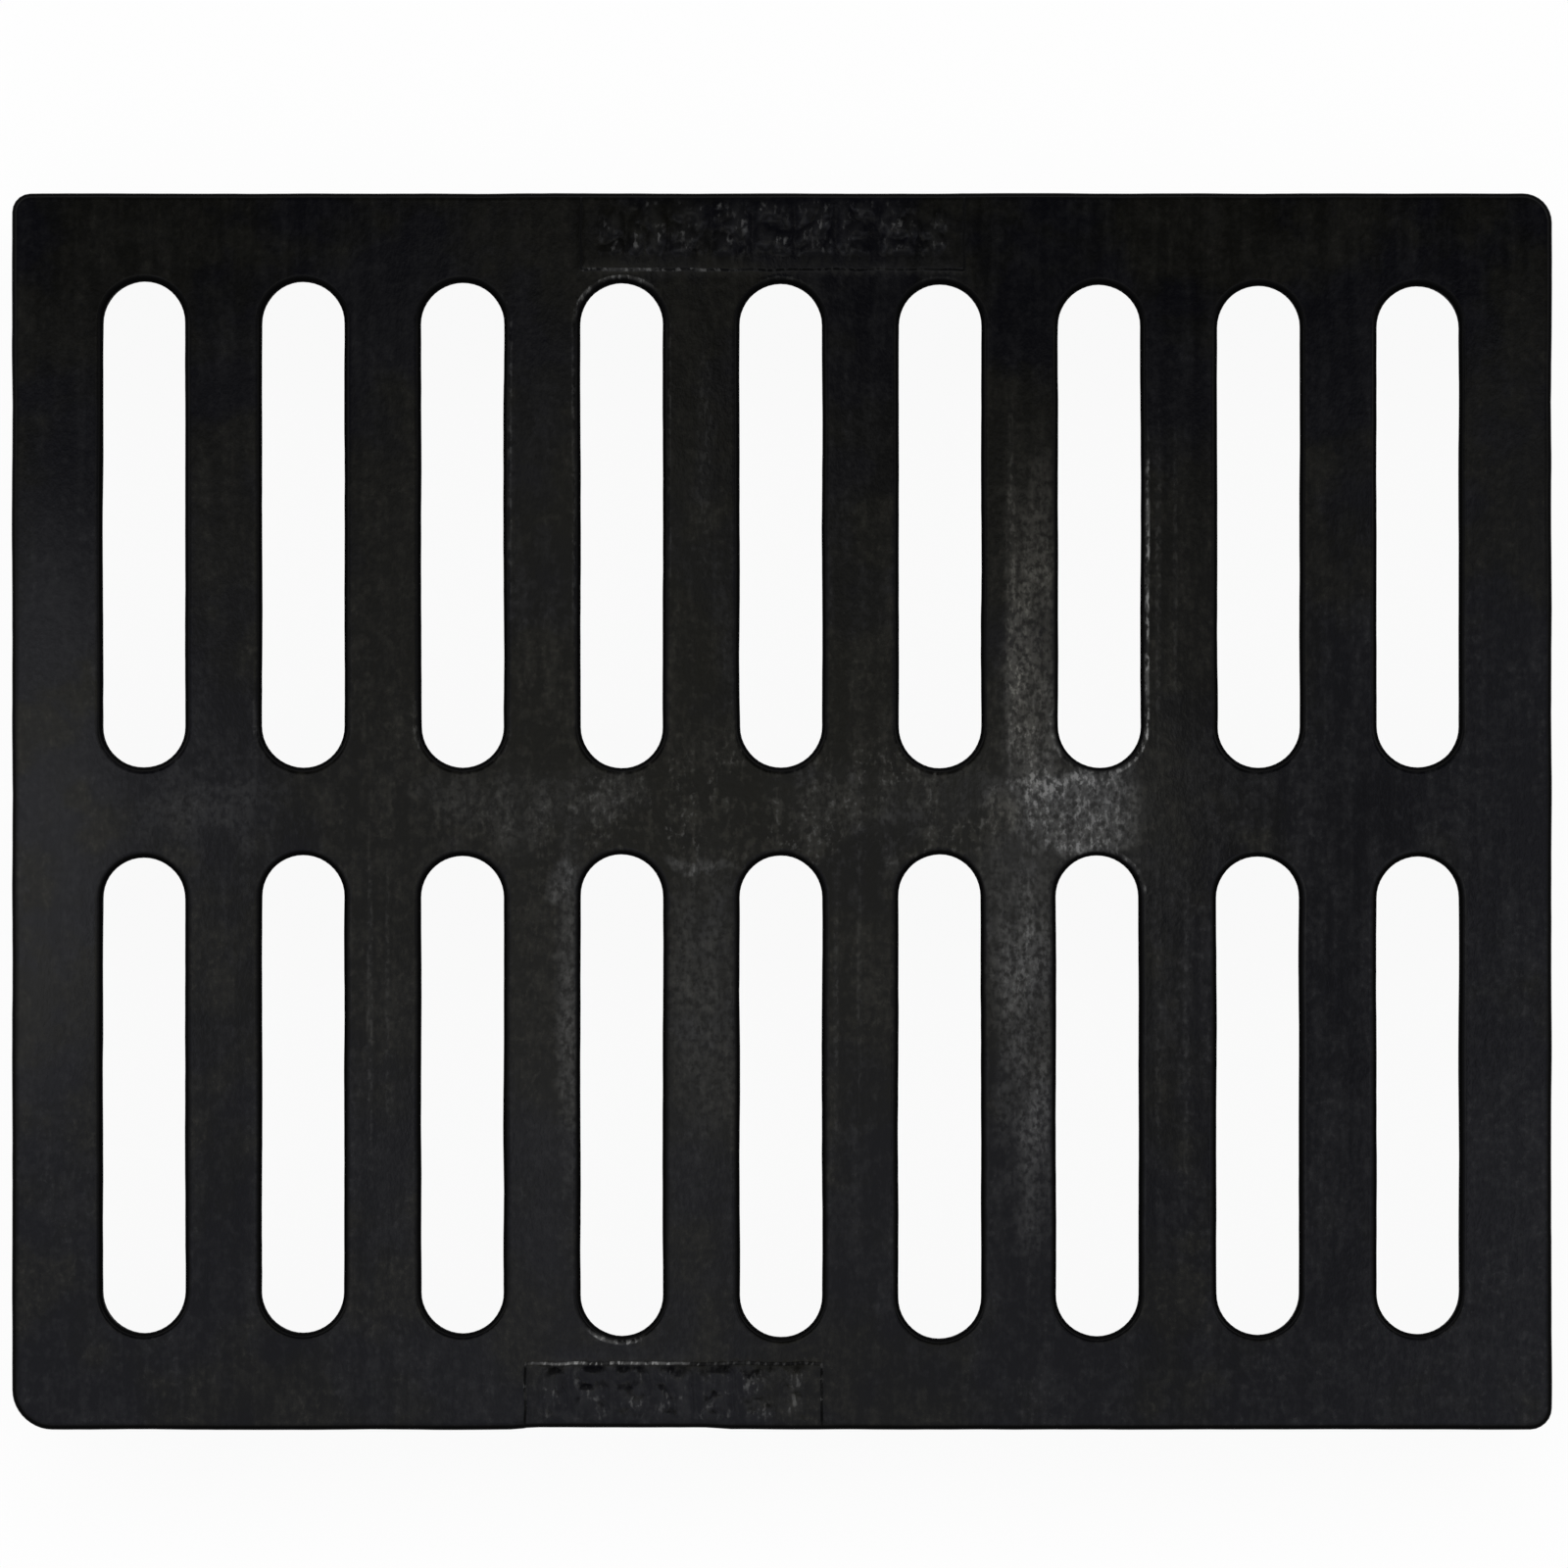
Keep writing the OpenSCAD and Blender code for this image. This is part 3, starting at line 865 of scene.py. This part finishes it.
def dipCoat():
    material = bpy.data.materials.new("black_dip_coat")
    shader = Shader(material)
    place = shader.node("TexCoord", output="Object")
    along, up = [shader.node("SeparateXYZ", None, {"Vector": place}, output=axis) for axis in "YZ"]
    lean = up * coat["wallLean"]
    leaning = shader.node("CombineXYZ", None, {"X": lean, "Y": lean})
    sheet = shader.shifted(place, leaning)  # flat patterns that also run down the walls
    drawn = {name: shader.noise(sheet, **pattern) for name, pattern in patterns.items()}

    # Patterns added up by their shares
    def mixed(shares):
        return sum(share * drawn[name] for name, share in shares.items())

    def mask(name):
        return mixed(masks[name]["of"]).step(*masks[name]["edge"])

    # A level that holds everywhere, with what each mask adds to it
    def level(name, *added):
        return levels[name][0] + sum(amount * part for amount, part in zip(levels[name][1:], added))

    # Sum of ellipses with soft edges
    def near(spots, spot):
        total = 0.0
        for entry in spots:
            middle, size = [[c * metresPerMm for c in entry[key]] for key in ("at", "size")]
            inputs = {"Value": shader.ellipse(spot, middle, size), "From Min": softEdge[0],
                      "From Max": softEdge[1], "To Min": entry["level"], "To Max": 0.0}
            total += shader.node("MapRange", {"interpolation_type": "SMOOTHSTEP"}, inputs)
        return total

    # Painted highlights and sheen on the tread, with scratches, specks and pale lump tops
    across, lengthways = [far * metresPerMm for far in coat["drift"]]
    drift = shader.node("CombineXYZ", None, {"X": (drawn["blotch"] - evenNoise) * across,
                                             "Y": (drawn["cloud"] - evenNoise) * lengthways})
    drifted = shader.shifted(place, drift)
    grains, tops, coarse = mask("grains"), mask("tops"), near(roughSkin, place)
    specks = mask("specks") * mask("speckGround")
    paintedHighlight = near(paintedHighlights, drifted) * level("paintedHighlight", mask("blotches"), mask("streaking"))
    highlightAndRub = paintedHighlight * level("highlightAndRub", grains) + paintedHighlight * paintedHighlight * grains * tops * levels["highlightTops"]
    highlightAndRub += near(paleLines, place) * level("paleLine", tops) + specks * coarse * levels["specks"]
    # Pale lump tops: partly rubbed wear, partly a painted highlight
    wornAndLitTop = shader.node("Attribute", {"attribute_name": "worn_and_lit_top"}, output="Fac")
    highlightAndRub += wornAndLitTop * level("lumps", mask("highBlotches") * tops)
    highlightAndRub *= up.step(*[(treadTop + height) * metresPerMm for height in coat["treadFrom"]])

    # Where dust lies, with the painted sheen added to it
    frontward = 1 - along.step(*[y * metresPerMm for y in coat["front"]])
    middle = near(treadMiddle, place)
    mottle = mixed(mottleShares) - evenNoise * sum(mottleShares.values())
    dustAndSheen = levels["dust"] + mottle * level("mottle", middle, coarse)
    dustAndSheen = dustAndSheen.largest(0.0).smallest(levels["mostDust"]) * level("dustDepth", frontward)
    dustAndSheen = (dustAndSheen + near(paintedSheens, drifted)) * levels["dustShare"]
    dustAndSheen += specks * levels["speckDust"] * level("speckDepth", frontward)

    # Painted shade: near-black and matt on the roundings, slot walls, bevels and lump sides
    paintedShade = shader.node("Attribute", {"attribute_name": "painted_shade"}, output="Fac")
    # Painted glints: bright lines where a highlight falls on an edge
    paintedGlint = shader.node("Attribute", {"attribute_name": "painted_glint"}, output="Fac")
    paintedGlint = (paintedGlint * level("bareEdge", mask("lowBlotches"), tops)).smallest(1.0)

    side = near(blueSide, place)
    hue = mixed(tint["of"])
    olive = (hue + middle * tint["towardsOlive"] - side).step(*tint["oliveEdge"]) * tint["oliveMost"]
    blue = (1 - hue - middle * tint["awayFromBlue"] + side).step(*tint["blueEdge"])
    colour = shader.blend(blue, coat["black"], coat["blue"])
    colour = shader.blend(olive, colour, coat["olive"])
    colour = shader.blend(dustAndSheen, colour, shader.blend(olive, coat["dust"], coat["oliveDust"]))
    pale = shader.blend(near(warmHighlights, place), coat["highlightAndWearPale"], coat["warmHighlightAndWearPale"])
    # Painted highlights and rub marks turn the colour pale, the painted shade darkens it, and painted
    # glints brighten it
    colour = shader.blend(highlightAndRub, colour, pale)
    colour = shader.blend(paintedShade, colour, coat["edge"])
    colour = shader.blend(paintedGlint, colour, coat["bare"])
    rough = (coat["roughness"] + (drawn["cloud"] - evenNoise) * coat["cloudRoughness"]
             + (drawn["streaks"] - evenNoise) * coat["streakRoughness"] + highlightAndRub * coat["highlightAndRubRoughness"])

    normal = shader.bump(drawn["swell"], coat["swellDepth"])
    normal = shader.bump(drawn["grit"], coat["grainDepth"], normal)
    glossy = shader.node("BsdfPrincipled", None,
                         {"Base Color": colour, "Roughness": rough, "Normal": normal, "IOR": coat["ior"]})
    # The shader of the painted shade
    shadedBsdf = shader.node("BsdfPrincipled", None,
                       {"Base Color": colour, "Roughness": coat["paintedShadeRoughness"], "Normal": normal,
                        "IOR": coat["paintedShadeIor"]})
    surface = shader.node("MixShader", None, {0: paintedShade, 1: glossy, 2: shadedBsdf})
    shader.node("OutputMaterial", None, {"Surface": surface})
    return material


mesh.materials.append(dipCoat())
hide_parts("grate")
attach(castPiece, "root")
print("the coat is on")


# Floor, light and camera, with lengths in metres and places on the tread in millimetres
studio = {
    "floorSize": 12.0,
    "floorColour": (0.93, 0.93, 0.93),
    "floorShow": 0.94,                      # how much of the floor's look is plain white
    "overheadBack": 0.03,                   # light from overhead, as the tread's back and front mirror it
    "overheadFront": 0.50,
    "overheadLeast": 0.01,
    "backToFront": (200.0, -10.0),
    "ringBack": 2.8,                        # light from the ring of sky between these angles off the zenith
    "ringFront": 0.6,
    "ringTilt": 8,                          # how far the dark cap leans to the back
    "ringFrom": (20, 38),
    "ringTo": (60, 70),
    "ringTurn": (-0.4, 0.7),                # its front turns to its back here, on a cosine round it
    "zenithGuard": 0.0001,                  # keeps that cosine finite straight overhead
    "horizon": 0.10,
    "lowest": 0.2,                          # least height of a direction that a place is worked out for
    "backdrop": (0.12, 0.3),                # seen directly, the sky is plain white up to these heights
    "lampShows": (92.0, -4.0),
    "lampSize": (0.14, 0.10),
    "lampPower": 0.02,
}

# Soft panels overhead: the place on the tread that mirrors each, half its size there, and its level
panels = [
    {"shows": (-245, -28), "size": (34, 95), "level": 0.8},
    {"shows": (-72, -105), "size": (36, 85), "level": 0.78},
    {"shows": (250, -135), "size": (46, 90), "level": 0.42},
    {"shows": (-55, 135), "size": (56, 60), "level": 0.48},
    {"shows": (28, 105), "size": (20, 55), "level": -0.28},
    {"shows": (-140, -75), "size": (42, 80), "level": -0.24},
    {"shows": (80, 20), "size": (12, 120), "level": 0.5},
    {"shows": (172, -35), "size": (48, 110), "level": -0.36},
    {"shows": (184, -120), "size": (34, 75), "level": -0.27},
    {"shows": (30, 190), "size": (90, 45), "level": -0.24},
    {"shows": (240, 115), "size": (34, 50), "level": 0.42},
    {"shows": (228, 192), "size": (46, 30), "level": -0.18},
]
coolLight = (0.96, 0.98, 1.10)              # at the edges of the tread
warmLight = (1.04, 1.02, 0.88)              # over its middle
warmSpot = {"shows": (-15, 30), "size": (165, 140)}

photoSpan = 506.2                           # millimetres of tread across the picture
viewMiddle = (0.70, 8.9)                    # millimetres from the grate's middle to the picture's
viewDistance = 2.4                          # metres from the tread


def seenDirectly(shader):
    kinds = [shader.node("LightPath", output=name)
             for name in ("Is Camera Ray", "Is Glossy Ray", "Is Transmission Ray")]
    return kinds[0].largest(kinds[1]).largest(kinds[2])


def makeFloor():
    half = studio["floorSize"] / 2
    plane = bpy.data.meshes.new("floor")
    plane.from_pydata([(-half, -half, 0), (half, -half, 0), (half, half, 0), (-half, half, 0)], [],
                      [(0, 1, 2, 3)])
    floor = bpy.data.objects.new("floor", plane)
    bpy.context.scene.collection.objects.link(floor)
    material = bpy.data.materials.new("white_floor")
    shader = Shader(material)
    matt = shader.node("BsdfDiffuse", None, {"Color": studio["floorColour"]})
    white = shader.node("Emission", None, {"Color": (1.0, 1.0, 1.0), "Strength": 1.0})
    surface = shader.node("MixShader", None,
                          {0: seenDirectly(shader) * studio["floorShow"], 1: matt, 2: white})
    shader.node("OutputMaterial", None, {"Surface": surface})
    plane.materials.append(material)


def makeSky():
    world = bpy.data.worlds.new("studio")
    bpy.context.scene.world = world
    shader = Shader(world)
    direction = shader.node("TexCoord", output="Generated")
    across, along, up = [shader.node("SeparateXYZ", None, {"Vector": direction}, output=axis)
                         for axis in "XYZ"]
    fromZenith = shader.node("Math", {"operation": "ARCCOSINE"}, {0: up})
    lean = radians(studio["ringTilt"])
    fromCap = shader.node("Math", {"operation": "ARCCOSINE"}, {0: up * cos(lean) + along * sin(lean)})
    steep = up.largest(studio["lowest"])
    showsX, showsY = [axis / steep * (viewDistance / metresPerMm) + middle
                      for axis, middle in zip((across, along), viewMiddle)]
    shows = shader.node("CombineXYZ", None, {"X": showsX, "Y": showsY})

    def spot(panel):
        far = shader.ellipse(shows, panel["shows"], panel["size"])
        return shader.node("Math", {"operation": "EXPONENT"}, {0: far * -1})

    front = 1 - showsY.step(studio["backToFront"][1], studio["backToFront"][0])
    level = studio["overheadBack"] + front * (studio["overheadFront"] - studio["overheadBack"])
    for panel in panels:
        level += spot(panel) * panel["level"]
    level = level.largest(studio["overheadLeast"])
    tint = shader.blend(spot(warmSpot), coolLight, warmLight)
    light = shader.node("VectorMath", {"operation": "SCALE"}, {0: tint, "Scale": level})
    back = (along / (1 - up * up + studio["zenithGuard"]) ** 0.5).step(*studio["ringTurn"])
    ringLevel = studio["ringFront"] + back * (studio["ringBack"] - studio["ringFront"])
    ring = fromCap.step(*[radians(a) for a in studio["ringFrom"]])
    below = fromZenith.step(*[radians(a) for a in studio["ringTo"]])
    backdrop = seenDirectly(shader) * (1 - up.step(*studio["backdrop"]))
    surface = shader.node("Background", None, {"Color": light, "Strength": 1.0})
    for mask, strength in ((ring, ringLevel), (below, studio["horizon"]), (backdrop, 1.0)):
        outer = shader.node("Background", None, {"Color": (1.0, 1.0, 1.0), "Strength": strength})
        surface = shader.node("MixShader", None, {0: mask, 1: surface, 2: outer})
    shader.node("OutputWorld", None, {"Surface": surface})


def makeLamp():
    lamp = bpy.data.lights.new("soft_lamp", "AREA")
    lamp.shape = "ELLIPSE"
    lamp.size, lamp.size_y = studio["lampSize"]
    lamp.energy = studio["lampPower"]
    holder = bpy.data.objects.new("soft_lamp", lamp)
    x, y = [(2 * shows - middle) * metresPerMm for shows, middle in zip(studio["lampShows"], viewMiddle)]
    holder.location = (x, y, treadTop * metresPerMm + viewDistance)
    bpy.context.scene.collection.objects.link(holder)


def makeCamera():
    camera = bpy.data.cameras.new("camera")
    camera.sensor_width = 36
    camera.lens = camera.sensor_width * viewDistance / (photoSpan * metresPerMm)
    holder = bpy.data.objects.new("camera", camera)
    holder.location = (viewMiddle[0] * metresPerMm, viewMiddle[1] * metresPerMm,
                       treadTop * metresPerMm + viewDistance)
    bpy.context.scene.collection.objects.link(holder)
    bpy.context.scene.camera = holder


makeFloor()
makeSky()
makeLamp()
makeCamera()
bpy.context.scene.view_settings.view_transform = "Standard"
print("floor, light and camera are in place")
